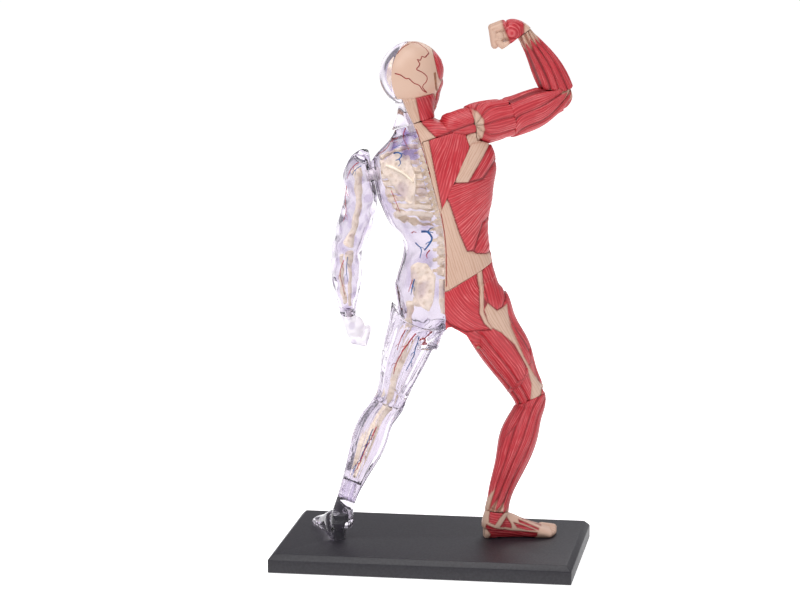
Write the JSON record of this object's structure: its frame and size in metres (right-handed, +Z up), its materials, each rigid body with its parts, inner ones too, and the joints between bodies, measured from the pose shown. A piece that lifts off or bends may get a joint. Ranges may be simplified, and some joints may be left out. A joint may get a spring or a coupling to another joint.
{
  "type": "desk-top human anatomy figure",
  "caption": "Standing human figure on a base, half opaque muscle and half clear shell over a skeleton, with push-fit head, arms, hinged elbow and turning hands.",
  "frame": {"origin": "centre of the base's underside, on the surface that it stands on", "axes": "+Z up, +X along the base's long side, to the figure's right-hand (muscle) side; the figure's chest faces roughly +Y"},
  "size_m": [0.15, 0.094, 0.2674],
  "materials": {
    "muscle_red": "painted soft plastic: crimson muscle, dry-brushed paler fibres, tan tendon",
    "clear_shell": "clear moulded plastic with a faint lavender tint",
    "frosted_clear": "milky, half-clear moulded plastic",
    "bone_cream": "cream plastic with a brown wash in the hollows",
    "peg_plastic": "plain moulded plastic",
    "base_black": "matt black moulded plastic"
  },
  "bodies": {
    "root": {"base_plate": "base_black", "foot_peg_right": "base_black", "foot_peg_left": "base_black", "foot_muscle": "muscle_red", "shin_muscle_back": "muscle_red", "shin_muscle_front": "muscle_red", "thigh_muscle_back": "muscle_red", "thigh_muscle_front": "muscle_red", "torso_back_muscle": "muscle_red", "torso_front_muscle": "muscle_red", "foot_clear": "clear_shell", "shin_clear_back": "clear_shell", "shin_clear_front": "clear_shell", "thigh_clear_back": "clear_shell", "thigh_clear_front": "clear_shell", "torso_back_clear": "clear_shell", "torso_front_clear": "clear_shell", "neck_peg": "peg_plastic", "shoulder_peg_right": "peg_plastic", "shoulder_peg_left": "peg_plastic", "spine_neck": "bone_cream", "spine_thoracic": "bone_cream", "spine_lumbar": "bone_cream", "ribs_left": "bone_cream", "sternum": "bone_cream", "clavicle_left": "bone_cream", "scapula_left": "bone_cream", "hip_bone_left": "bone_cream", "sacrum": "bone_cream", "femur_left": "bone_cream", "patella_left": "bone_cream", "tibia_left": "bone_cream", "fibula_left": "bone_cream"},
    "head": {"head_muscle_half": "muscle_red", "head_clear_half": "clear_shell", "skull_left": "bone_cream"},
    "back_panel": {"trapezius_panel": "muscle_red"},
    "arm_right": {"deltoid_muscle": "muscle_red", "upper_arm_muscle": "muscle_red", "elbow_pin": "peg_plastic"},
    "forearm_right": {"forearm_muscle": "muscle_red", "wrist_peg_right": "peg_plastic"},
    "hand_right": {"hand_muscle": "muscle_red"},
    "arm_left": {"arm_clear_back": "clear_shell", "arm_clear_front": "clear_shell", "wrist_peg_left": "peg_plastic", "humerus_left": "bone_cream", "ulna_left": "bone_cream", "radius_left": "bone_cream"},
    "hand_left": {"hand_frosted": "frosted_clear"}
  },
  "joints": [
    {"name": "neck_turn", "type": "hinge", "parent": "root", "child": "head", "pos_m": [-0.0097, 0.00254, 0.2176], "axis": [-0.3152, 0.0728, 0.9462], "range_deg": [-40, 40]},
    {"name": "back_panel_lift", "type": "slide", "parent": "root", "child": "back_panel", "axis": [0.153, -0.9882, 0], "range_m": [0, 0.04]},
    {"name": "shoulder_right_turn", "type": "hinge", "parent": "root", "child": "arm_right", "pos_m": [0.01651, 0.00842, 0.2161], "axis": [0.8628, 0.4786, 0.163], "continuous": true},
    {"name": "elbow_right_bend", "type": "hinge", "parent": "arm_right", "child": "forearm_right", "pos_m": [0.05745, 0.03156, 0.2296], "axis": [-0.4268, 0.8885, -0.1687], "range_deg": [0, 80]},
    {"name": "wrist_right_turn", "type": "hinge", "parent": "forearm_right", "child": "hand_right", "pos_m": [0.04135, 0.02967, 0.2604], "axis": [-0.5606, -0.0868, 0.8235], "continuous": true},
    {"name": "shoulder_left_turn", "type": "hinge", "parent": "root", "child": "arm_left", "pos_m": [-0.02964, -0.00003, 0.1922], "axis": [-0.9715, -0.1504, -0.183], "continuous": true},
    {"name": "wrist_left_turn", "type": "hinge", "parent": "arm_left", "child": "hand_left", "pos_m": [-0.04573, 0.02085, 0.118], "axis": [0.0088, 0.3344, -0.9424], "continuous": true}
  ]
}
